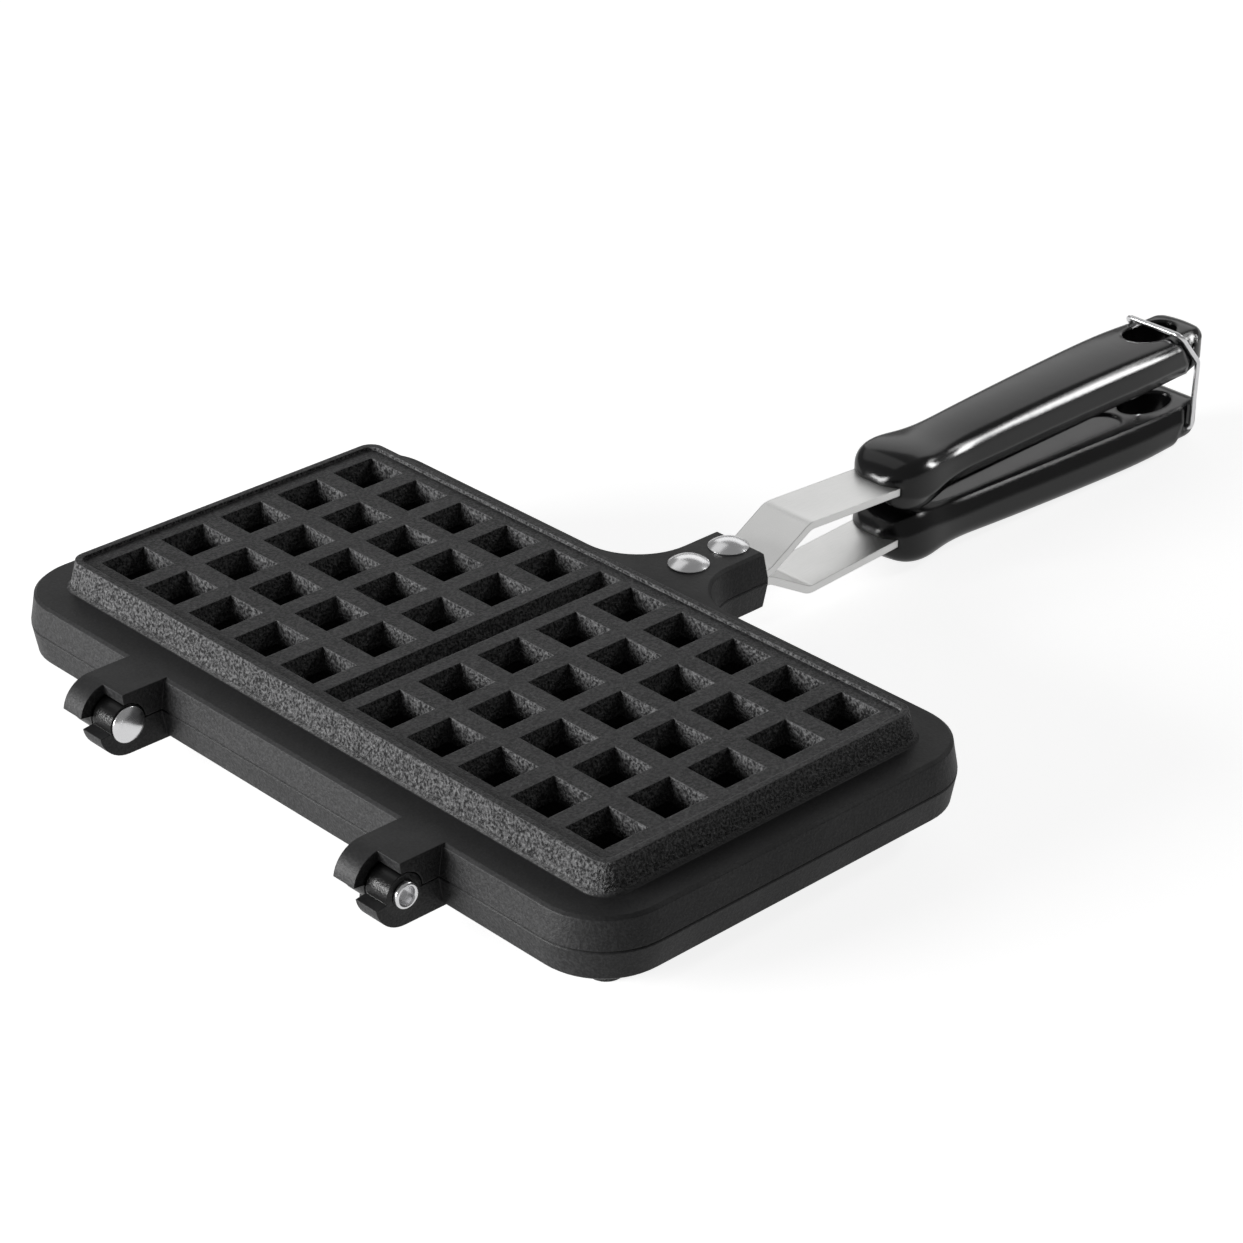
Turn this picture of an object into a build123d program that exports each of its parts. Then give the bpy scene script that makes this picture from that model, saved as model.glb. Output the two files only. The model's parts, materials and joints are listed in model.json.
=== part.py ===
"""Stovetop waffle mold: two identical cast halves on pin hinges, with strap
handles, moulded grips and a wire bail that holds the closed grips together.

Frame: millimetres, +Z up.  The origin is the plate centre at the underside of
the lower half.  The hinges lie on the -Y side and the grips point along +Y.
Each piece that occurs in both halves is drawn once in its half's own frame,
with the seam at height 0 and the pan side up, and is then set at both seats.
"""
import os
from math import cos, radians, sin, sqrt, tan

from build123d import *

# Cast half: flange, raised pan and its rim
plate_length = 239.6
plate_width = 135.4
plate_corner = 20.0
flange_height = 8.8
flange_draft = 9.67
pan_length = 217.0
pan_width = 110.8
pan_corner = 6.4
pan_height = 8.0
pan_draft = 13.4
rim_width = 1.8
rim_height = 1.0
flange_edge = 0.8
seam_edge = 0.4
pan_foot = 1.0

# Pits: two blocks, each of pits_per_side by pits_per_side
pits_per_side = 5
pit_pitch_x = 19.4
pit_pitch_y = 20.2
pit_length = 13.6
pit_width = 14.3
pit_depth = 11.2
block_gap = 17.3
cast_draft = 7.0
cast_wall = 2.4

# Inside of the cast half
web_half = 2.7
dam_width = 2.6
dam_inset = 3.0
land_width = 3.0
divider_width = 8.6
slot_width = 7.7
slot_length = 96.0
slot_draft = 5.0
cavity_corner = 2.5

# Hinges
hinge_spacing = 110.6
hinge_y = -78.6
lug_width = 16.0
lug_gap = 0.5
barrel_radius = 5.5
pin_radius = 3.0
pin_clearance = 0.05
barrel_clearance = 0.3
stub_reach = 97.0
open_angle = 91.0
stop_margin = 1.0
seam_relief = 0.15
pin_head_radius = 5.1
pin_head_height = 2.0
pin_crown_radius = 3.6
pin_roll_radius = 3.6
pin_roll_height = 1.3
pin_socket_radius = 2.4
pin_socket_depth = 2.5
head_clearance = 0.15

# Neck that carries the strap
neck_width = 21.8
neck_end = 99.2
neck_root = 16.5
neck_corner = 1.4
rivet_radius = 2.5
rivet_head_radius = 5.85
rivet_head_height = 2.4
rivet_crown_radius = 3.4
rivet_y = (77.5, 92.9)
fit_clearance = 0.05

# Strap, side view: heights are those of its middle layer
strap_width = 18.0
strap_thickness = 2.3
strap_start = 68.5
strap_lift = 0.1
strap_rise_y = 100.8
strap_top_y = 116.5
strap_top_z = 10.2
strap_level_y = 156.0
strap_level_z = 8.1
strap_end = 236.0
strap_bend = 6.0

# Grip, stations along its length: place, half width, outer and inner height
grip_start = 149.8
grip_stations = (
    (159.0, 12.1, 16.9, 1.0),
    (172.0, 11.4, 16.8, 2.5),
    (190.0, 10.8, 17.2, 3.7),
    (215.0, 11.4, 18.3, 4.3),
    (245.0, 12.1, 19.1, 4.9),
    (268.0, 12.3, 19.1, 5.3),
    (282.0, 11.9, 18.8, 5.4),
)
grip_end = 295.2
grip_nose = 10.0
grip_tail = 9.6
grip_crown = 1.4
grip_bevel = 4.6
grip_bevel_in = 2.4
grip_top_round = 4.2
full_height = 14.0
full_half_width = 10.0
nose_axis_z = 8.1
tail_axis_z = 12.0
lobe_half = 9.2
shoulder_top_y = 275.6
shoulder_slope = 0.52
shoulder_height = 18.5
shoulder_rise = 8.0
beyond = 10.0
hang_length = 21.6
hang_width = 12.8
hang_y = 274.6
channel_length = 92.0
channel_width = 11.0
channel_y = 215.0
channel_floor = 5.9
screw_y = 166.0
screw_radius = 1.8
screw_head_radius = 3.4
screw_length = 11.0
screw_floor = 4.2
screw_head_height = 1.6

# Wire bail
wire_radius = 0.85
wire_flats = 12
bail_pivot_y = 285.3
bail_pivot_z = 13.8
bail_hole_depth = 4.2
bail_side_gap = 0.6
bail_knee_y = 286.1
bail_knee_z = 8.6
bail_bar_y = 276.6
bail_bar_z = 19.95
bail_bend = 2.4
bail_pivot_bend = 1.4

# How far an edge or a vertex may lie from the place it is picked by
pick_margin = 0.001

# Derived places
half_height = flange_height + pan_height
panel_height = half_height - rim_height
cavity_depth = panel_height - cast_wall
hook_reach = 360.0 - stub_reach - open_angle - stop_margin
block_x = block_gap / 2 + (pit_pitch_x * (pits_per_side - 1) + pit_length) / 2
upper_seat = Plane.XY.offset(half_height)
lower_seat = Plane(origin=(0, 0, half_height), x_dir=(-1, 0, 0), z_dir=(0, 0, -1))


def facing_down(height):
    """Plane at a height with its normal pointing down."""
    return Plane(origin=(0, 0, height), x_dir=(1, 0, 0), z_dir=(0, 0, -1))


def shrink(height, draft):
    """How far a drafted wall moves in over a height."""
    return height * tan(radians(draft))


def write(piece, name):
    piece.label = name
    export_step(piece, f"parts/{name}.step")


def place(shape, seat, name):
    """Set a piece at a half's seat and write it."""
    with BuildPart(seat) as placed:
        add(shape)
    write(placed.part, name)


# One half of the batter space, +X side: a drafted block with a hollow for each peg
cavity_length = (pan_length - divider_width) / 2 - dam_inset
cavity_width = pan_width - 2 * dam_inset
cavity_x = divider_width / 2 + cavity_length / 2
peg_growth = 2 * (cast_wall - shrink(cast_wall + web_half, cast_draft))
with BuildPart() as batter:
    with BuildSketch() as cavity_mouth:
        with Locations((cavity_x, 0)):
            Rectangle(cavity_length, cavity_width)
        chamfer(cavity_mouth.vertices(), cavity_corner)
    extrude(amount=cavity_depth, taper=cast_draft)
    with BuildSketch(facing_down(cavity_depth)) as peg_roots:
        with Locations((block_x, 0)):
            with GridLocations(pit_pitch_x, pit_pitch_y, pits_per_side, pits_per_side):
                Rectangle(pit_length + peg_growth, pit_width + peg_growth)
    extrude(amount=cavity_depth - web_half, taper=cast_draft, mode=Mode.SUBTRACT)


def lug_outline(reach):
    """Side view of a lug: an arm from the flange that wraps the hinge axis up to an angle."""
    with BuildSketch() as outline:
        with BuildLine():
            root_y = land_width - plate_width / 2
            top = Line((root_y, flange_height), (hinge_y, flange_height))
            wrap = CenterArc((hinge_y, 0), flange_height, 90, reach - 90)
            Polyline(wrap @ 1, (hinge_y, seam_relief), (root_y, seam_relief), top @ 0)
        make_face()
    return outline.sketch


# Cast half in its own frame
with BuildPart() as casting:
    with BuildSketch() as flange_outline:
        RectangleRounded(plate_length, plate_width, plate_corner)
        Rectangle(neck_width, neck_end, align=(Align.CENTER, Align.MIN))
        side = plate_width / 2
        roots = flange_outline.vertices().filter_by_position(Axis.Y, side - pick_margin, side + pick_margin)
        fillet(roots.filter_by_position(Axis.X, -neck_width, neck_width), neck_root)
        chamfer(flange_outline.vertices().group_by(Axis.Y)[-1], neck_corner)
    extrude(amount=flange_height, taper=flange_draft)
    chamfer(casting.edges().group_by(Axis.Z)[-1], flange_edge)
    chamfer(casting.edges().group_by(Axis.Z)[0], seam_edge)
    with BuildSketch(Plane.XY.offset(flange_height)) as pan_outline:
        RectangleRounded(pan_length, pan_width, pan_corner)
    extrude(amount=pan_height, taper=pan_draft)
    foot = casting.edges()
    for axis, low, high in (
        (Axis.Z, flange_height, flange_height),
        (Axis.X, -pan_length / 2, pan_length / 2),
        (Axis.Y, -pan_width / 2, pan_width / 2),
    ):
        foot = foot.filter_by_position(axis, low - pick_margin, high + pick_margin)
    chamfer(foot, pan_foot)

    pan_top_length = pan_length - 2 * shrink(pan_height, pan_draft)
    pan_top_width = pan_width - 2 * shrink(pan_height, pan_draft)
    with BuildSketch(facing_down(half_height)) as panel_outline:
        RectangleRounded(pan_top_length - 2 * rim_width, pan_top_width - 2 * rim_width, pan_corner / 2)
    extrude(amount=rim_height, mode=Mode.SUBTRACT)

    with BuildSketch(facing_down(panel_height)) as pit_mouths:
        with Locations((block_x, 0), (-block_x, 0)):
            with GridLocations(pit_pitch_x, pit_pitch_y, pits_per_side, pits_per_side):
                Rectangle(pit_length, pit_width)
    extrude(amount=pit_depth, taper=cast_draft, mode=Mode.SUBTRACT)
    with BuildSketch(facing_down(panel_height)) as slot_mouth:
        Rectangle(slot_width, slot_length)
    extrude(amount=panel_height - cast_wall, taper=slot_draft, mode=Mode.SUBTRACT)

    add(batter.part, mode=Mode.SUBTRACT)
    add(mirror(batter.part, about=Plane.YZ, mode=Mode.PRIVATE), mode=Mode.SUBTRACT)

    with BuildSketch() as gutter:
        RectangleRounded(plate_length - 2 * land_width, plate_width - 2 * land_width, plate_corner - land_width)
        dam_reach = 2 * (dam_width - dam_inset)
        Rectangle(pan_length + dam_reach, pan_width + dam_reach, mode=Mode.SUBTRACT)
    extrude(amount=flange_height - cast_wall, taper=cast_draft, mode=Mode.SUBTRACT)

    # Hinge lugs: a knuckle on the -X half of each, a stub over the other half's barrel
    half_lug = (lug_width - lug_gap) / 2
    for centre in (-hinge_spacing / 2, hinge_spacing / 2):
        with BuildSketch(Plane.YZ.offset(centre - lug_width / 2)) as knuckle:
            add(lug_outline(hook_reach))
            with Locations((hinge_y, 0)):
                Circle(barrel_radius)
                Circle(pin_radius + pin_clearance, mode=Mode.SUBTRACT)
        extrude(amount=half_lug)
        with BuildSketch(Plane.YZ.offset(centre - lug_gap / 2)) as stub:
            add(lug_outline(stub_reach))
            with Locations((hinge_y, 0)):
                Circle(barrel_radius + barrel_clearance, mode=Mode.SUBTRACT)
        extrude(amount=half_lug + lug_gap)

    # Seat of the strap in the neck and its two rivet holes
    seat_height = strap_lift + strap_thickness + fit_clearance
    with BuildSketch() as strap_seat:
        with Locations((0, strap_start - fit_clearance)):
            Rectangle(strap_width + 2 * fit_clearance, neck_end, align=(Align.CENTER, Align.MIN))
    extrude(amount=seat_height, mode=Mode.SUBTRACT)
    with BuildSketch() as rivet_holes:
        with Locations(*[(0, y) for y in rivet_y]):
            Circle(rivet_radius + fit_clearance)
    extrude(amount=flange_height, mode=Mode.SUBTRACT)

# Hinge pin along X: a head with a flat crown at +X, a rolled hollow end at -X
pin_half = lug_width / 2 + head_clearance
with BuildPart() as hinge_pin:
    with BuildSketch(Plane.XY) as pin_outline:
        with BuildLine():
            Polyline(
                (pin_half + pin_head_height, 0),
                (pin_half + pin_head_height, pin_crown_radius),
                (pin_half, pin_head_radius),
                (pin_half, pin_radius),
                (-pin_half, pin_radius),
                (-pin_half, pin_roll_radius),
                (-pin_half - pin_roll_height, pin_roll_radius),
                (-pin_half - pin_roll_height, pin_socket_radius),
                (pin_socket_depth - pin_half - pin_roll_height, pin_socket_radius),
                (pin_socket_depth - pin_half - pin_roll_height, 0),
                close=True,
            )
        make_face()
    revolve(axis=Axis.X)

# Rivet along Z: head with a flat crown on the neck, tail flush with the strap's seam face
with BuildPart() as rivet:
    with BuildSketch(Plane.XZ) as rivet_outline:
        with BuildLine():
            Polyline(
                (0, flange_height + rivet_head_height),
                (rivet_crown_radius, flange_height + rivet_head_height),
                (rivet_head_radius, flange_height),
                (rivet_radius, flange_height),
                (rivet_radius, strap_lift),
                (0, strap_lift),
                close=True,
            )
        make_face()
    revolve(axis=Axis.Z)


def strap_side(clearance):
    """Side view of the bent strap, grown by a clearance all round."""
    middle = strap_lift + strap_thickness / 2
    with BuildSketch() as outline:
        with BuildLine():
            FilletPolyline(
                (strap_start, middle),
                (strap_rise_y, middle),
                (strap_top_y, strap_top_z),
                (strap_level_y, strap_level_z),
                (strap_end + clearance, strap_level_z),
                radius=strap_bend,
            )
        trace(line_width=strap_thickness + 2 * clearance)
    return outline.sketch


# Strap with the holes for its rivets and for the screw in the grip
with BuildPart() as strap:
    with BuildSketch(Plane.YZ):
        add(strap_side(0))
    extrude(amount=strap_width / 2, both=True)
    with BuildSketch(Plane.XY.offset(strap_lift)):
        with Locations(*[(0, y) for y in rivet_y]):
            Circle(rivet_radius + fit_clearance)
    extrude(amount=2 * strap_thickness, mode=Mode.SUBTRACT)
    with BuildSketch(Plane.XY.offset(strap_level_z - strap_thickness)):
        with Locations((0, screw_y)):
            Circle(screw_radius + fit_clearance)
    extrude(amount=2 * strap_thickness, mode=Mode.SUBTRACT)


def grip_section(half_width, outer, inner):
    """Cross-section of the grip: crowned outer face, bevelled sides and flat inner face."""
    share = min(1.0, (outer - inner) / full_height, half_width / full_half_width)
    ridge = inner + grip_bevel * share
    edge = outer - grip_crown * share
    foot = half_width - grip_bevel_in * share
    with BuildSketch() as outline:
        with BuildLine():
            crown = ThreePointArc((-half_width, edge), (0, outer), (half_width, edge))
            Polyline(
                crown @ 1,
                (half_width, ridge),
                (foot, inner),
                (-foot, inner),
                (-half_width, ridge),
                crown @ 0,
            )
        make_face()
        shoulders = outline.vertices()
        shoulders = shoulders.filter_by_position(Axis.Y, edge - pick_margin, edge + pick_margin)
        fillet(shoulders, grip_top_round * share)
    return outline.sketch


def rounded(station, t, axis_z):
    """Station drawn in towards the axis of a rounded end, at share t of the end's reach."""
    half_width, outer, inner = station[1:]
    k = sqrt(1 - (1 - t) ** 2)
    return half_width * k, axis_z + (outer - axis_z) * k, axis_z - (axis_z - inner) * k


nose_shares = (0.05, 0.25, 0.6)
tail_shares = (0.6, 0.3, 0.1, 0.02)
nose = [(grip_start + grip_nose * t, *rounded(grip_stations[0], t, nose_axis_z)) for t in nose_shares]
tail = [(grip_end - grip_tail * t, *rounded(grip_stations[-1], t, tail_axis_z)) for t in tail_shares]

# Grip in its half's frame: a loft through its stations, then its pockets and holes
with BuildPart() as grip:
    for y, half_width, outer, inner in (*nose, *grip_stations, *tail):
        with BuildSketch(Plane(origin=(0, y, 0), x_dir=(1, 0, 0), z_dir=(0, -1, 0))):
            add(grip_section(half_width, outer, inner))
    loft()
    with BuildSketch(Plane.YZ):
        add(strap_side(fit_clearance))
    extrude(amount=strap_width / 2 + fit_clearance, both=True, mode=Mode.SUBTRACT)
    # Shoulders that the bail's legs lie against, down each side of the end lobe
    for side in (-1, 1):
        with BuildSketch(Plane.YZ.offset(side * lobe_half)):
            with BuildLine():
                Polyline(
                    (shoulder_top_y - shoulder_rise * shoulder_slope, shoulder_height + shoulder_rise),
                    (shoulder_top_y + shoulder_height * shoulder_slope, 0),
                    (grip_end + beyond, 0),
                    (grip_end + beyond, shoulder_height + shoulder_rise),
                    close=True,
                )
            make_face()
        extrude(amount=side * beyond, mode=Mode.SUBTRACT)
    with BuildSketch(Plane.XY):
        with Locations((0, grip_end - lobe_half)):
            Rectangle(4 * lobe_half, 2 * lobe_half, align=(Align.CENTER, Align.MIN))
            Circle(lobe_half, mode=Mode.SUBTRACT)
    extrude(amount=half_height + beyond, mode=Mode.SUBTRACT)
    with BuildSketch(Plane.XY):
        with Locations((0, hang_y)):
            Ellipse(hang_width / 2, hang_length / 2)
    extrude(amount=half_height + beyond, mode=Mode.SUBTRACT)
    with BuildSketch(Plane.XY):
        with Locations((0, channel_y)):
            SlotOverall(channel_length, channel_width, rotation=90)
    extrude(amount=channel_floor, mode=Mode.SUBTRACT)
    with BuildSketch(Plane.YZ.offset(lobe_half - bail_hole_depth)):
        with Locations((bail_pivot_y, bail_pivot_z)):
            Circle(wire_radius + fit_clearance)
    extrude(amount=beyond, mode=Mode.SUBTRACT)
    with BuildSketch(Plane.YZ.offset(bail_hole_depth - lobe_half)):
        with Locations((bail_pivot_y, bail_pivot_z)):
            Circle(wire_radius + fit_clearance)
    extrude(amount=-beyond, mode=Mode.SUBTRACT)
    with BuildSketch(Plane.XY):
        with Locations((0, screw_y)):
            Circle(screw_radius + fit_clearance)
    extrude(amount=screw_floor + screw_length, mode=Mode.SUBTRACT)
    with BuildSketch(Plane.XY):
        with Locations((0, screw_y)):
            Circle(screw_head_radius + fit_clearance)
    extrude(amount=screw_floor, mode=Mode.SUBTRACT)

# Screw that holds the strap in the grip, its head sunk in the inner face
with BuildPart() as grip_screw:
    with BuildSketch(Plane.XY.offset(screw_floor)):
        with Locations((0, screw_y)):
            Circle(screw_radius)
    extrude(amount=screw_length - fit_clearance)
    with BuildSketch(Plane.XY.offset(screw_floor)):
        with Locations((0, screw_y)):
            Circle(screw_head_radius)
    extrude(amount=-screw_head_height)

# Wire bail, set in the finished frame: pivots in the lower grip, bar over the upper one
leg_x = lobe_half + bail_side_gap + wire_radius
wire_tip = lobe_half - bail_hole_depth + fit_clearance
pivot = Vector(0, bail_pivot_y, half_height - bail_pivot_z)
knee = Vector(0, bail_knee_y, half_height + bail_knee_z)
bar = Vector(0, bail_bar_y, half_height + bail_bar_z)
with BuildPart() as bail:
    with BuildLine() as wire_route:
        FilletPolyline(
            (-wire_tip, pivot.Y, pivot.Z),
            (-leg_x, pivot.Y, pivot.Z),
            (-leg_x, knee.Y, knee.Z),
            (-leg_x, bar.Y, bar.Z),
            (leg_x, bar.Y, bar.Z),
            (leg_x, knee.Y, knee.Z),
            (leg_x, pivot.Y, pivot.Z),
            (wire_tip, pivot.Y, pivot.Z),
            radius=(bail_pivot_bend, bail_bend, bail_bend, bail_bend, bail_bend, bail_pivot_bend),
        )
    with BuildSketch(Plane(origin=wire_route.line @ 0, z_dir=wire_route.line % 0)):
        RegularPolygon(wire_radius, wire_flats)
    sweep()

os.makedirs("parts", exist_ok=True)
place(casting.part, upper_seat, "upper_plate")
place(casting.part, lower_seat, "lower_plate")
place(strap.part, upper_seat, "upper_strap")
place(strap.part, lower_seat, "lower_strap")
place(grip.part, upper_seat, "upper_grip")
place(grip.part, lower_seat, "lower_grip")
place(grip_screw.part, upper_seat, "upper_grip_screw")
place(grip_screw.part, lower_seat, "lower_grip_screw")
for name, seat in (("upper_neck_rivets", upper_seat), ("lower_neck_rivets", lower_seat)):
    with BuildPart(seat) as rivets:
        with Locations(*[(0, y, 0) for y in rivet_y]):
            add(rivet.part)
    write(rivets.part, name)
for name, x, turn in (("left_hinge_pin", -hinge_spacing / 2, 0), ("right_hinge_pin", hinge_spacing / 2, 180)):
    with BuildPart(upper_seat) as seated_pin:
        with Locations((x, hinge_y, 0)):
            add(hinge_pin.part, rotation=(0, 0, turn))
    write(seated_pin.part, name)
write(bail.part, "bail")
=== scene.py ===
"""Looks of the stovetop waffle mold: materials, floor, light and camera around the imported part."""
import json
from math import asin, cos, hypot, pi, radians, sin, sqrt

import bmesh
import bpy
from mathutils import Matrix, Vector

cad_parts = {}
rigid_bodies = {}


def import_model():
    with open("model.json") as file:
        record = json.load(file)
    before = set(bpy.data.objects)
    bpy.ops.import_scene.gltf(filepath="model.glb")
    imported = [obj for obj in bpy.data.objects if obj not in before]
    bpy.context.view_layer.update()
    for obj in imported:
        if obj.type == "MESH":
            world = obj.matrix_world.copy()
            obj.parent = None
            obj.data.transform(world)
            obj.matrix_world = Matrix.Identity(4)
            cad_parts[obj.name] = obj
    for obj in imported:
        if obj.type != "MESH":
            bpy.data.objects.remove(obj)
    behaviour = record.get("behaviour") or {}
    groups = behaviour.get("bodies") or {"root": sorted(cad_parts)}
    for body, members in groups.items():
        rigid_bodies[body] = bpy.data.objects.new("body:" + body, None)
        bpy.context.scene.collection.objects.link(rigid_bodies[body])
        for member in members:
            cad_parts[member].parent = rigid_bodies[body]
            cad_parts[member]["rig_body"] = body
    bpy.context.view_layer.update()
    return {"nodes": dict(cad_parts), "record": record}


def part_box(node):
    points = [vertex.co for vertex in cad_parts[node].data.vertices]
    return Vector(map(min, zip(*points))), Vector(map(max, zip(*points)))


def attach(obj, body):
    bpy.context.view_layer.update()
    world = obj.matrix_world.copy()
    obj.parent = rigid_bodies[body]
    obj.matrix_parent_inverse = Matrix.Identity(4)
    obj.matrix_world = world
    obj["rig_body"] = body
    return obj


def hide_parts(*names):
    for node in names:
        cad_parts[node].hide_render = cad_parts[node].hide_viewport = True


# Lengths are in metres; a roughness or a share that changes is a pair, from and to
SEAM_HEIGHT = 0.0168
HINGE_Y = -0.0786

# Sockets of a mix node that work on colours
MIX_SHARE, MIX_FIRST, MIX_SECOND = 0, 6, 7
MIX_RESULT = 2
EDGE_SAMPLES = 6

# The part of a noise's range that holds most of its values
NOISE_SPAN = (0.3, 0.7)

# Coated castings: the flange's height is from the seam
CAST_COLOUR = (0.015, 0.015, 0.0155, 1)
CAST_ROUGHNESS = (0.46, 0.54)
CAST_SPECULAR = 0.32
CAST_EDGE = 0.0004
BLOTCH_SCALE = 70
SWELL_SCALE = 380
SWELL_DEPTH = 0.0002
GRAIN_SCALE = 1300
GRAIN_DEPTH = 0.0013
# Light grain specks; the same colour also lightens the pans' edges as a painted highlight
SPECK_AND_HIGHLIGHT_COLOUR = (0.26, 0.26, 0.263, 1)
SPECK_SPAN = (0.40, 0.68)
SPECK_GLOSS = 0.14
FLANGE_HEIGHT = 0.0089
FLANGE_FADE = 0.0006
FLANGE_TO_PAN = (0.12, 1.0)
LEVEL_SPAN = (0.45, 0.85)
WALL_TO_LEVEL = (1.0, 0.28)
# Painted highlight along the pans' edges: where the rounded normal bends away from the flat one, the
# colour goes towards the speck colour
EDGE_HIGHLIGHT_SPAN = (0.72, 0.98)
EDGE_TO_FACE = (0.85, 0.0)
BARREL_RADIUS = 0.0057
BARREL_FADE = 0.0001
BARREL_SHADE = 0.25
BARREL_POLISH = (1.0, 0.6)

# Grip resin
GRIP_COLOUR = (0.0035, 0.0035, 0.0038, 1)
GRIP_SHADES = (0.85, 1.25)
GRIP_ROUGHNESS = (0.12, 0.17)
GRIP_SPECULAR = 0.42
GRIP_EDGE = 0.0016
SMUDGE_SCALE = 110
RIPPLE_SCALE = 45
RIPPLE_DEPTH = 0.0006
SCRATCH_SCALE = 2600
SCRATCH_ALONG = 0.06
SCRATCH_SPAN = (0.55, 0.75)
SCRATCH_ROUGHNESS = (0.0, 0.04)

# Strap steel
STRAP_COLOUR = (0.87, 0.87, 0.86, 1)
STRAP_SHADES = (0.86, 1.08)
STRAP_ROUGHNESS = (0.36, 0.42)
STRAP_CLOUD_SCALE = 60
STRAP_EDGE = 0.0005
BRUSH_SCALE = 5200
BRUSH_ALONG = 0.012
BRUSH_ROUGHNESS = (-0.05, 0.06)
BRUSH_DEPTH = 0.00004

# Fastener steel
FASTENER_COLOUR = (0.86, 0.86, 0.87, 1)
FASTENER_SHADES = (0.92, 1.05)
FASTENER_ROUGHNESS = (0.20, 0.26)
FASTENER_CLOUD_SCALE = 200
FASTENER_EDGE = 0.0003
MARK_SCALE = 500
MARK_DEPTH = 0.00001

# End lobe of a grip: the centre, tail and shoulder are places along y, heights are from the seam
LOBE_HALF = 0.0092
LOBE_CENTRE = 0.2860
LOBE_MIDDLE = 0.0120
LOBE_OUTER = 0.0188
LOBE_INNER = 0.0054
TAIL_START = 0.2856
TAIL_REACH = 0.0096
SHOULDER_Y = 0.2756
SHOULDER_HEIGHT = 0.0185
SHOULDER_SLOPE = 0.52
OUTER_ROUND = 0.0040
INNER_ROUND = 0.0020
SMALLEST_ROUND = 1e-9
ROUND_FADE = 0.0050
WALL_SLACK = 1e-5
LOBE_FACET = 0.0009
FACET_PASSES = 5
LOBE_MERGE = 2e-6
GRIP_SMOOTH = 38

# Turned rivets and pins: the rivets' seat is a height from the seam, other heights are from a seat
RIVET_SEAT = 0.0088
RIVET_SHANK_RADIUS = 0.0025
HEAD_LIP = 0.0004
PIN_SHANK_RADIUS = 0.0030
PIN_HEAD_HEIGHT = 0.0020
PIN_ROLL_RADIUS = 0.0036
PIN_ROLL_HEIGHT = 0.0013
PIN_SOCKET_RADIUS = 0.0024
PIN_SOCKET_DEPTH = 0.0025
TURNED_SIDES = 48
ARC_STEPS = 8
TURNED_MERGE = 1e-7
TURNED_SMOOTH = 40

# Camera: angles in degrees, the lens and its sensor in millimetres
CAMERA_PLACE = (0.6204, -0.5313, 0.4798)
CAMERA_AZIMUTH = 46.76
CAMERA_ELEVATION = 28.52
CAMERA_LENS = 103.2
CAMERA_REACH = 50
SENSOR_WIDTH = 36.0

# Strength of the air and of the floor's glow, by the kind of ray that meets them
AIR_LIGHT = 0.035
AIR_MIRRORED = 0.30
AIR_SEEN = 1.0
FLOOR_SEEN = 0.86
FLOOR_MIRRORED = 0.56

# The floor leans with the mold: (y, z) under the rim's hinge side and under the grip's back
FLOOR_COLOUR = (0.50, 0.50, 0.50, 1)
FLOOR_RIM = (-0.0655, 0.0)
FLOOR_GRIP = (0.258, -0.0023)
FLOOR_SIZE = 8.0

# Places that the lamps are aimed at
MOLD_MIDDLE = (0, 0.05, 0.02)
NECK_SLOPE = (0, 0.108, 0.025)
GRIPS_MIDDLE = (0, 0.22, 0.03)

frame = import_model()


def scaled(colour, share):
    """A colour made darker or lighter."""
    return (*[channel * share for channel in colour[:3]], 1)


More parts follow.
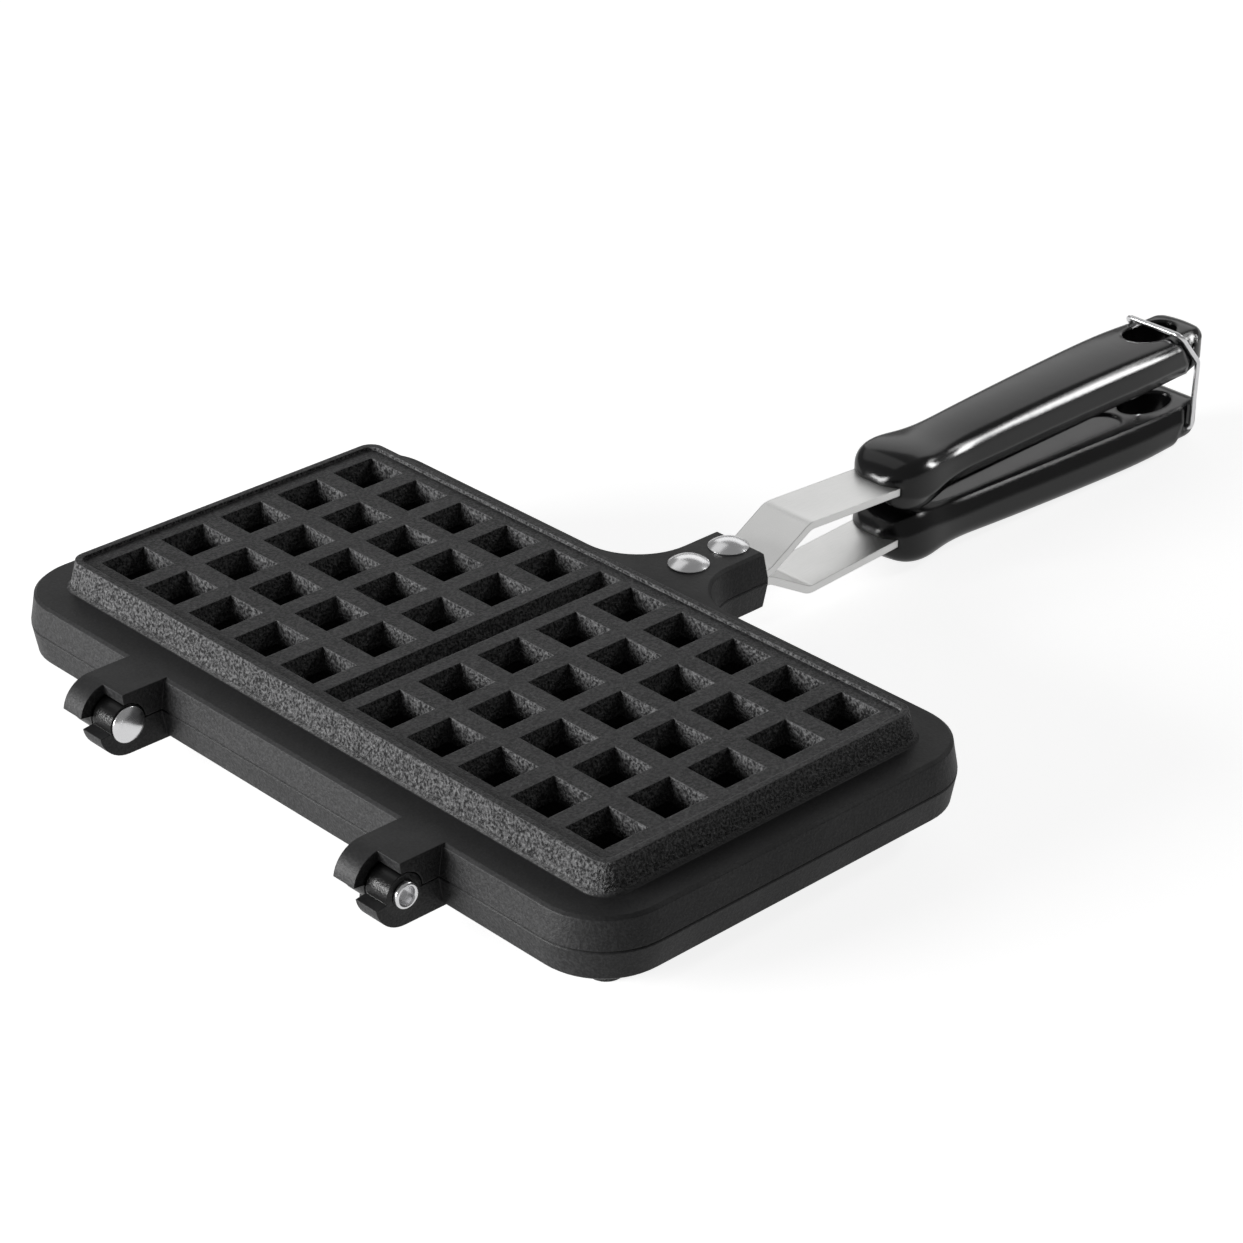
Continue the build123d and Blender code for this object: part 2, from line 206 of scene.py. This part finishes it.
class Graph:
    """Adds nodes to a material or a world and links them by socket name."""

    def __init__(self, owner):
        self.owner = owner
        owner.use_nodes = True
        self.tree = owner.node_tree
        self.tree.nodes.clear()

    def add(self, kind, links=None, **settings):
        """A node whose sockets take either another node's socket or a value."""
        node = self.tree.nodes.new(kind)
        for key, value in settings.items():
            setattr(node, key, value)
        for socket, value in (links or {}).items():
            if isinstance(value, bpy.types.NodeSocket):
                self.tree.links.new(value, node.inputs[socket])
            else:
                node.inputs[socket].default_value = value
        return node

    def coordinates(self, scale=(1, 1, 1)):
        """Place in the object's own space, stretched where a scale is small."""
        place = self.add("ShaderNodeTexCoord")
        moved = self.add("ShaderNodeMapping", {"Vector": place.outputs["Object"], "Scale": scale})
        return moved.outputs["Vector"]

    def height(self, vector):
        """Third number of a place or a direction."""
        return self.add("ShaderNodeSeparateXYZ", {0: vector}).outputs["Z"]

    def noise(self, vector, scale, detail=2.0, roughness=0.5):
        """Cloudy values around one half."""
        node = self.add(
            "ShaderNodeTexNoise",
            {"Vector": vector, "Scale": scale, "Detail": detail, "Roughness": roughness},
        )
        return node.outputs["Fac"]

    def remap(self, value, span, result):
        """A value moved from one range to another and held inside it."""
        node = self.add(
            "ShaderNodeMapRange",
            {
                "Value": value,
                "From Min": span[0],
                "From Max": span[1],
                "To Min": result[0],
                "To Max": result[1],
            },
        )
        return node.outputs["Result"]

    def math(self, operation, first, second=0.0):
        """Arithmetic on one or two values."""
        return self.add("ShaderNodeMath", {0: first, 1: second}, operation=operation).outputs[0]

    def measure(self, operation, first, second):
        """One number from two vectors."""
        node = self.add("ShaderNodeVectorMath", {0: first, 1: second}, operation=operation)
        return node.outputs["Value"]

    def tint(self, fac, low, high):
        """Colour between two colours."""
        ramp = self.add("ShaderNodeValToRGB", {"Fac": fac})
        ramp.color_ramp.elements[0].color = low
        ramp.color_ramp.elements[1].color = high
        return ramp.outputs["Color"]

    def shaded(self, fac, colour, shares):
        """Colour between two shades of one colour."""
        return self.tint(fac, *(scaled(colour, share) for share in shares))

    def blend(self, fac, first, second):
        """Mix of two colours, either of which can come from a node."""
        links = {MIX_SHARE: fac, MIX_FIRST: first, MIX_SECOND: second}
        return self.add("ShaderNodeMix", links, data_type="RGBA").outputs[MIX_RESULT]

    def bump(self, height, strength, distance, normal=None):
        """Small relief on top of a shading normal."""
        links = {"Height": height, "Strength": strength, "Distance": distance}
        if normal:
            links["Normal"] = normal
        return self.add("ShaderNodeBump", links).outputs["Normal"]

    def edge(self, radius):
        """Shading normal that rounds the edges."""
        node = self.add("ShaderNodeBevel", {"Radius": radius}, samples=EDGE_SAMPLES)
        return node.outputs["Normal"]

    def shade(self, **sockets):
        """The finished material, its sockets named with underscores for spaces."""
        links = {key.replace("_", " "): value for key, value in sockets.items()}
        shader = self.add("ShaderNodeBsdfPrincipled", links)
        self.add("ShaderNodeOutputMaterial", {"Surface": shader.outputs["BSDF"]})
        return self.owner


def coated_casting(graph):
    """Black coating over a cast surface: sandy grain on the pans, smoother flanges, light specks, and a
    painted highlight along the pans' edges.
    """
    place = graph.coordinates()
    grain = graph.noise(place, GRAIN_SCALE, detail=3.0, roughness=0.6)
    blotch = graph.noise(place, BLOTCH_SCALE)
    swell = graph.noise(place, SWELL_SCALE)

    from_seam = graph.math("ABSOLUTE", graph.math("SUBTRACT", graph.height(place), SEAM_HEIGHT))
    pan = graph.remap(from_seam, (FLANGE_HEIGHT, FLANGE_HEIGHT + FLANGE_FADE), FLANGE_TO_PAN)
    facing = graph.add("ShaderNodeTexCoord").outputs["Normal"]
    level = graph.math("ABSOLUTE", graph.height(facing))
    sand = graph.math("MULTIPLY", pan, graph.remap(level, LEVEL_SPAN, WALL_TO_LEVEL))
    specks = graph.math("MULTIPLY", graph.remap(grain, SPECK_SPAN, (0, 1)), sand)

    rounded = graph.edge(CAST_EDGE)
    flat = graph.add("ShaderNodeNewGeometry").outputs["Normal"]
    # Painted highlight: the pans' edges are lightened towards the speck colour where the rounded normal
    # bends away from the flat one
    bend = graph.measure("DOT_PRODUCT", rounded, flat)
    painted_edge_highlight = graph.math("MULTIPLY", graph.remap(bend, EDGE_HIGHLIGHT_SPAN, EDGE_TO_FACE), pan)
    colour = graph.tint(graph.math("MAXIMUM", specks, painted_edge_highlight), CAST_COLOUR, SPECK_AND_HIGHLIGHT_COLOUR)
    rough = graph.remap(blotch, NOISE_SPAN, CAST_ROUGHNESS)
    rough = graph.math("ADD", rough, graph.math("MULTIPLY", specks, -SPECK_GLOSS))

    across = graph.coordinates((0, 1, 1))
    from_hinge = graph.measure("DISTANCE", across, (0, HINGE_Y, SEAM_HEIGHT))
    barrel = graph.remap(from_hinge, (BARREL_RADIUS, BARREL_RADIUS + BARREL_FADE), (1.0, 0.0))
    colour = graph.blend(barrel, colour, scaled(CAST_COLOUR, BARREL_SHADE))
    rough = graph.math("MULTIPLY", rough, graph.remap(barrel, (0, 1), BARREL_POLISH))

    normal = graph.bump(swell, strength=0.3, distance=SWELL_DEPTH, normal=rounded)
    relief = graph.math("MULTIPLY", grain, sand)
    normal = graph.bump(relief, strength=1.0, distance=GRAIN_DEPTH, normal=normal)
    return graph.shade(
        Base_Color=colour, Roughness=rough, Specular_IOR_Level=CAST_SPECULAR, Normal=normal
    )


def grip_resin(graph):
    """Moulded black resin with a glossy skin, faint ripples and hair scratches."""
    place = graph.coordinates()
    along = graph.coordinates((1, SCRATCH_ALONG, 1))
    ripple = graph.noise(place, RIPPLE_SCALE, detail=1.0)
    scratch = graph.noise(along, SCRATCH_SCALE, roughness=0.6)
    smudge = graph.noise(place, SMUDGE_SCALE, detail=3.0)
    colour = graph.shaded(smudge, GRIP_COLOUR, GRIP_SHADES)
    rough = graph.math(
        "ADD",
        graph.remap(smudge, NOISE_SPAN, GRIP_ROUGHNESS),
        graph.remap(scratch, SCRATCH_SPAN, SCRATCH_ROUGHNESS),
    )
    rounded = graph.edge(GRIP_EDGE)
    normal = graph.bump(ripple, strength=0.12, distance=RIPPLE_DEPTH, normal=rounded)
    return graph.shade(
        Base_Color=colour, Roughness=rough, Specular_IOR_Level=GRIP_SPECULAR, Normal=normal
    )


def strap_steel(graph):
    """Rolled steel strip, brushed along its length."""
    brush = graph.noise(graph.coordinates((1, BRUSH_ALONG, 1)), BRUSH_SCALE, detail=3.0, roughness=0.6)
    cloud = graph.noise(graph.coordinates(), STRAP_CLOUD_SCALE)
    colour = graph.shaded(brush, STRAP_COLOUR, STRAP_SHADES)
    rough = graph.math(
        "ADD",
        graph.remap(cloud, NOISE_SPAN, STRAP_ROUGHNESS),
        graph.remap(brush, NOISE_SPAN, BRUSH_ROUGHNESS),
    )
    rounded = graph.edge(STRAP_EDGE)
    normal = graph.bump(brush, strength=0.2, distance=BRUSH_DEPTH, normal=rounded)
    return graph.shade(Base_Color=colour, Metallic=1.0, Roughness=rough, Normal=normal)


def fastener_steel(graph):
    """Bright rivets, pins, screws and wire with light tool marks."""
    place = graph.coordinates()
    mark = graph.noise(place, MARK_SCALE)
    cloud = graph.noise(place, FASTENER_CLOUD_SCALE, detail=1.0)
    colour = graph.shaded(cloud, FASTENER_COLOUR, FASTENER_SHADES)
    rough = graph.remap(mark, NOISE_SPAN, FASTENER_ROUGHNESS)
    rounded = graph.edge(FASTENER_EDGE)
    normal = graph.bump(mark, strength=0.03, distance=MARK_DEPTH, normal=rounded)
    return graph.shade(Base_Color=colour, Metallic=1.0, Roughness=rough, Normal=normal)


FINISHES = {
    "coated_casting": coated_casting,
    "grip_resin": grip_resin,
    "strap_steel": strap_steel,
    "fastener_steel": fastener_steel,
}
MATERIALS = {name: finish(Graph(bpy.data.materials.new(name))) for name, finish in FINISHES.items()}
SLOT_OF = {row["node"]: row["material_slot"] for row in frame["record"]["subparts"]}
for node_name, slot in SLOT_OF.items():
    piece = frame["nodes"][node_name]
    piece.data.materials.clear()
    piece.data.materials.append(MATERIALS[slot])


def placed(name, data):
    """A new object in the scene that holds a mesh, a lamp or a camera."""
    holder = bpy.data.objects.new(name, data)
    bpy.context.scene.collection.objects.link(holder)
    return holder


def meshed(shape, name):
    """A mesh from an edited shape, which is let go."""
    mesh = bpy.data.meshes.new(name)
    shape.to_mesh(mesh)
    shape.free()
    return mesh


def stand_in(mesh, node_name, angle):
    """Show a mesh in place of a CAD node: smooth up to an angle, on the node's body and slot."""
    for polygon in mesh.polygons:
        polygon.use_smooth = True
    mesh.set_sharp_from_angle(angle=radians(angle))
    mesh.materials.clear()
    mesh.materials.append(MATERIALS[SLOT_OF[node_name]])
    piece = placed(f"{node_name}_dressed", mesh)
    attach(piece, frame["nodes"][node_name]["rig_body"])
    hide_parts(node_name)


def quarter(radius, distance):
    """Drop of a rounded edge at a distance from its wall."""
    if distance >= radius:
        return 0.0
    return radius - sqrt(max(0.0, distance * (2 * radius - distance)))


def rounded_height(x, y, height):
    """Height from the seam of a grip's point once the end lobe's edges are rounded."""
    past = y - SHOULDER_Y - (SHOULDER_HEIGHT - height) * SHOULDER_SLOPE
    inside = LOBE_HALF - hypot(x, max(0.0, y - LOBE_CENTRE))
    if past <= 0 or inside < -WALL_SLACK:
        return height
    share = min(1.0, past / ROUND_FADE)
    share = share * share * (3 - 2 * share)
    along = min(1.0, max(0.0, (y - TAIL_START) / TAIL_REACH))
    swell = sqrt(1 - along * along)
    outer = LOBE_MIDDLE + (LOBE_OUTER - LOBE_MIDDLE) * swell
    inner = LOBE_MIDDLE - (LOBE_MIDDLE - LOBE_INNER) * swell
    inside = max(0.0, inside)
    top = outer - quarter(OUTER_ROUND * share * swell + SMALLEST_ROUND, inside)
    bottom = inner + quarter(INNER_ROUND * share * swell + SMALLEST_ROUND, inside)
    return max(bottom, min(top, height))


def moulded_grip(node_name):
    """Grip with the soft edges that its mould gives the end lobe."""
    shape = bmesh.new()
    shape.from_mesh(frame["nodes"][node_name].data)
    lobe = [vert for vert in shape.verts if vert.co.y > SHOULDER_Y]
    bmesh.ops.remove_doubles(shape, verts=lobe, dist=LOBE_MERGE)
    for _ in range(FACET_PASSES):
        long_edges = [
            edge
            for edge in shape.edges
            if edge.calc_length() > LOBE_FACET and max(v.co.y for v in edge.verts) > SHOULDER_Y
        ]
        bmesh.ops.subdivide_edges(shape, edges=long_edges, cuts=1)
        bmesh.ops.triangulate(shape, faces=[face for face in shape.faces if len(face.verts) > 3])
    for vert in shape.verts:
        height = abs(vert.co.z - SEAM_HEIGHT)
        sign = 1 if vert.co.z > SEAM_HEIGHT else -1
        vert.co.z = SEAM_HEIGHT + sign * rounded_height(vert.co.x, vert.co.y, height)
    moved = [edge for edge in shape.edges if min(v.co.y for v in edge.verts) > SHOULDER_Y]
    bmesh.ops.dissolve_degenerate(shape, edges=moved, dist=LOBE_MERGE)
    stand_in(meshed(shape, f"{node_name}_moulded"), node_name, GRIP_SMOOTH)


def turned(outline, spin_axis, across, origin):
    """Vertices and faces of an outline (along, radius) turned about an axis through a point."""
    third = spin_axis.cross(across)
    points, faces = [], []
    for step in range(TURNED_SIDES):
        turn = 2 * pi * step / TURNED_SIDES
        ray = across * cos(turn) + third * sin(turn)
        points += [origin + spin_axis * along + ray * radius for along, radius in outline]
    count = len(outline)
    for step in range(TURNED_SIDES):
        here, there = step * count, (step + 1) % TURNED_SIDES * count
        faces += [(here + k, there + k, there + k + 1, here + k + 1) for k in range(count - 1)]
    return points, faces


def cap(base_radius, start, top):
    """Outline of a low dome from its rim to its crown."""
    rise = top - start
    radius = (base_radius * base_radius + rise * rise) / (2 * rise)
    reach = asin(base_radius / radius)
    turns = [reach * (1 - k / ARC_STEPS) for k in range(ARC_STEPS + 1)]
    return [(top - radius + radius * cos(turn), radius * sin(turn)) for turn in turns]


def joined(parts, name):
    """One mesh from several turned outlines, closed at the axis."""
    shape = bmesh.new()
    for points, faces in parts:
        verts = [shape.verts.new(point) for point in points]
        for face in faces:
            shape.faces.new([verts[k] for k in face])
    bmesh.ops.remove_doubles(shape, verts=shape.verts, dist=TURNED_MERGE)
    bmesh.ops.dissolve_degenerate(shape, edges=shape.edges, dist=TURNED_MERGE)
    bmesh.ops.recalc_face_normals(shape, faces=shape.faces)
    return meshed(shape, name)


def domed_rivets(node_name, up):
    """Two rivets with low domed heads; up is 1 or -1, the way that the heads point."""
    low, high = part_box(node_name)
    head_radius = (high.x - low.x) / 2
    crown = max(abs(high.z - SEAM_HEIGHT), abs(low.z - SEAM_HEIGHT))
    tail = min(abs(high.z - SEAM_HEIGHT), abs(low.z - SEAM_HEIGHT))
    outline = [(tail, 0.0), (tail, RIVET_SHANK_RADIUS)]
    outline += [(RIVET_SEAT, RIVET_SHANK_RADIUS), (RIVET_SEAT, head_radius)]
    outline += cap(head_radius, RIVET_SEAT + HEAD_LIP, crown)
    parts = [
        turned(outline, Vector((0, 0, up)), Vector((1, 0, 0)), Vector((0, y, SEAM_HEIGHT)))
        for y in (low.y + head_radius, high.y - head_radius)
    ]
    stand_in(joined(parts, f"{node_name}_turned"), node_name, TURNED_SMOOTH)


def domed_pin(node_name, head_side):
    """Hinge pin with a domed head on one end (1 or -1 along x) and a rolled hollow end on the other."""
    low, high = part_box(node_name)
    head_radius = (high.z - low.z) / 2
    half = (high.x - low.x - PIN_HEAD_HEIGHT - PIN_ROLL_HEIGHT) / 2
    head_end = high.x if head_side > 0 else low.x
    centre = head_end - head_side * (half + PIN_HEAD_HEIGHT)
    roll_end = -half - PIN_ROLL_HEIGHT
    socket_end = roll_end + PIN_SOCKET_DEPTH
    lip = (PIN_ROLL_RADIUS - PIN_SOCKET_RADIUS) / 2
    outline = [(socket_end, 0.0), (socket_end, PIN_SOCKET_RADIUS)]
    for turn in [pi * k / ARC_STEPS for k in range(ARC_STEPS + 1)]:
        outline.append((roll_end + lip * (1 - sin(turn)), PIN_ROLL_RADIUS - lip - lip * cos(turn)))
    outline += [(-half, PIN_ROLL_RADIUS), (-half, PIN_SHANK_RADIUS)]
    outline += [(half, PIN_SHANK_RADIUS), (half, head_radius)]
    outline += cap(head_radius, half + HEAD_LIP, half + PIN_HEAD_HEIGHT)
    middle = Vector((centre, (low.y + high.y) / 2, (low.z + high.z) / 2))
    parts = [turned(outline, Vector((head_side, 0, 0)), Vector((0, 1, 0)), middle)]
    stand_in(joined(parts, f"{node_name}_turned"), node_name, TURNED_SMOOTH)


def floor():
    """Plain pale floor that takes the mold's shadow."""
    graph = Graph(bpy.data.materials.new("floor"))
    matte = graph.add("ShaderNodeBsdfDiffuse", {"Color": FLOOR_COLOUR}).outputs[0]
    path = graph.add("ShaderNodeLightPath")
    seen, mirrored = path.outputs["Is Camera Ray"], path.outputs["Is Glossy Ray"]
    strength = graph.remap(seen, (0, 1), (FLOOR_MIRRORED, FLOOR_SEEN))
    glow = graph.add("ShaderNodeEmission", {"Color": (1, 1, 1, 1), "Strength": strength})
    both = graph.add("ShaderNodeAddShader", {0: matte, 1: glow.outputs[0]}).outputs[0]
    glows = graph.math("MAXIMUM", seen, mirrored)
    mixed = graph.add("ShaderNodeMixShader", {"Fac": glows, 1: matte, 2: both})
    graph.add("ShaderNodeOutputMaterial", {"Surface": mixed.outputs[0]})
    slope = (FLOOR_GRIP[1] - FLOOR_RIM[1]) / (FLOOR_GRIP[0] - FLOOR_RIM[0])
    half = FLOOR_SIZE / 2
    corners = [
        (x, y, FLOOR_RIM[1] + (y - FLOOR_RIM[0]) * slope)
        for x, y in ((-half, -half), (half, -half), (half, half), (-half, half))
    ]
    mesh = bpy.data.meshes.new("floor")
    mesh.from_pydata(corners, [], [(0, 1, 2, 3)])
    mesh.materials.append(graph.owner)
    plane = placed("floor", mesh)


def lamp(name, place, target, size, power, card=False, piece_name=None):
    """Soft rectangular lamp. A card shows in reflections alone, and can be kept to one piece."""
    light = bpy.data.lights.new(name, "AREA")
    light.shape = "RECTANGLE"
    light.size, light.size_y = size
    light.energy = power
    holder = placed(name, light)
    holder.location = place
    holder.rotation_euler = (Vector(target) - Vector(place)).to_track_quat("-Z", "Y").to_euler()
    holder.visible_diffuse = not card
    if piece_name:
        lit = bpy.data.collections.new(f"{name}_lit")
        lit.objects.link(bpy.data.objects[piece_name])
        holder.light_linking.receiver_collection = lit


def world():
    """Even studio air: dim as light, pale where the camera and reflections see it."""
    air = bpy.data.worlds.new("studio")
    graph = Graph(air)
    path = graph.add("ShaderNodeLightPath")
    unseen = graph.remap(path.outputs["Is Glossy Ray"], (0, 1), (AIR_LIGHT, AIR_MIRRORED))
    strength = graph.remap(path.outputs["Is Camera Ray"], (0, 1), (unseen, AIR_SEEN))
    back = graph.add("ShaderNodeBackground", {"Strength": strength})
    graph.add("ShaderNodeOutputWorld", {"Surface": back.outputs[0]})
    bpy.context.scene.world = air


def camera():
    """Camera at the photograph's place and angle."""
    lens = bpy.data.cameras.new("camera")
    lens.sensor_fit = "HORIZONTAL"
    lens.sensor_width = SENSOR_WIDTH
    lens.lens = CAMERA_LENS
    lens.clip_end = CAMERA_REACH
    azimuth, elevation = radians(CAMERA_AZIMUTH), radians(CAMERA_ELEVATION)
    ahead = Vector((-sin(azimuth) * cos(elevation), cos(azimuth) * cos(elevation), -sin(elevation)))
    right = Vector((cos(azimuth), sin(azimuth), 0))
    up = right.cross(ahead)
    aim = Matrix((right, up, -ahead)).transposed().to_4x4()
    holder = placed("camera", lens)
    holder.matrix_world = Matrix.Translation(CAMERA_PLACE) @ aim
    bpy.context.scene.camera = holder


moulded_grip("upper_grip")
moulded_grip("lower_grip")
domed_rivets("upper_neck_rivets", up=1)
domed_rivets("lower_neck_rivets", up=-1)
domed_pin("left_hinge_pin", head_side=1)
domed_pin("right_hinge_pin", head_side=-1)
floor()
world()
camera()

lamp("front_left", place=(-0.62, -1.42, 0.37), target=MOLD_MIDDLE, size=(1.0, 0.5), power=35.0)
lamp("back_left", place=(-1.0, 1.35, 0.85), target=MOLD_MIDDLE, size=(1.7, 0.9), power=3.7)
lamp("back_right", place=(0.55, 1.3, 1.0), target=GRIPS_MIDDLE, size=(0.42, 0.32), power=3.0)
lamp(
    "streak",
    place=(1.04, 1.35, 0.62),
    target=GRIPS_MIDDLE,
    size=(0.34, 0.9),
    power=27.0,
    card=True,
    piece_name="upper_grip_dressed",
)
lamp(
    "low_streak",
    place=(0.74, 1.1, 1.0),
    target=GRIPS_MIDDLE,
    size=(0.5, 0.34),
    power=10.0,
    card=True,
    piece_name="lower_grip_dressed",
)
lamp("overhead", place=(-0.75, 0.1, 1.05), target=NECK_SLOPE, size=(0.8, 0.8), power=1.0, card=True)

bpy.context.scene.view_settings.view_transform = "Standard"
